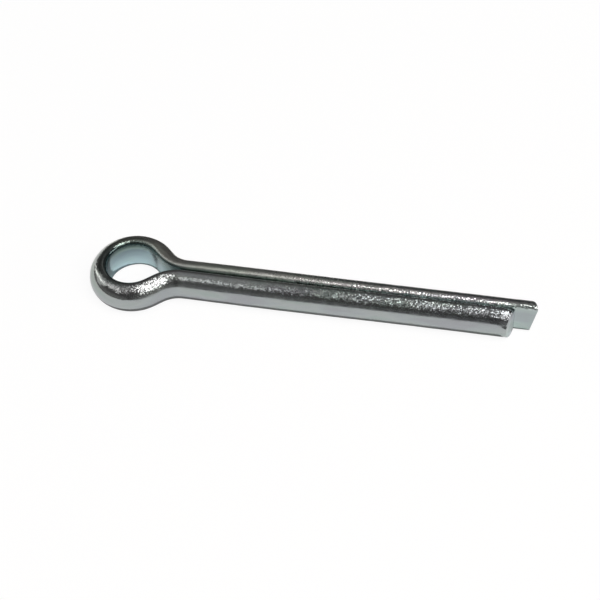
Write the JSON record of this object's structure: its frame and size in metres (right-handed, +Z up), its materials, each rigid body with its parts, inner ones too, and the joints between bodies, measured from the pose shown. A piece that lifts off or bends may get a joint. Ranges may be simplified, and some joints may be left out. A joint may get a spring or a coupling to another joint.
{
  "type": "cotter pin",
  "caption": "Split pin of folded half-round wire: a round eye, two necks and two straight legs lying flat side to flat side, one longer than the other.",
  "frame": {"origin": "on the shank's axis at the neck, where the flat sides of the two legs come together", "axes": "+X along the legs towards the tips, +Y across the legs towards the long one, +Z up, across the wire's width, with the pin lying on its side"},
  "size_m": [0.0669, 0.0132, 0.0054],
  "materials": {
    "zinc_plated_steel": "bright zinc plate, satin, with fine pits and drawing lines"
  },
  "bodies": {
    "root": {"cotter_pin": "zinc_plated_steel"}
  },
  "joints": []
}
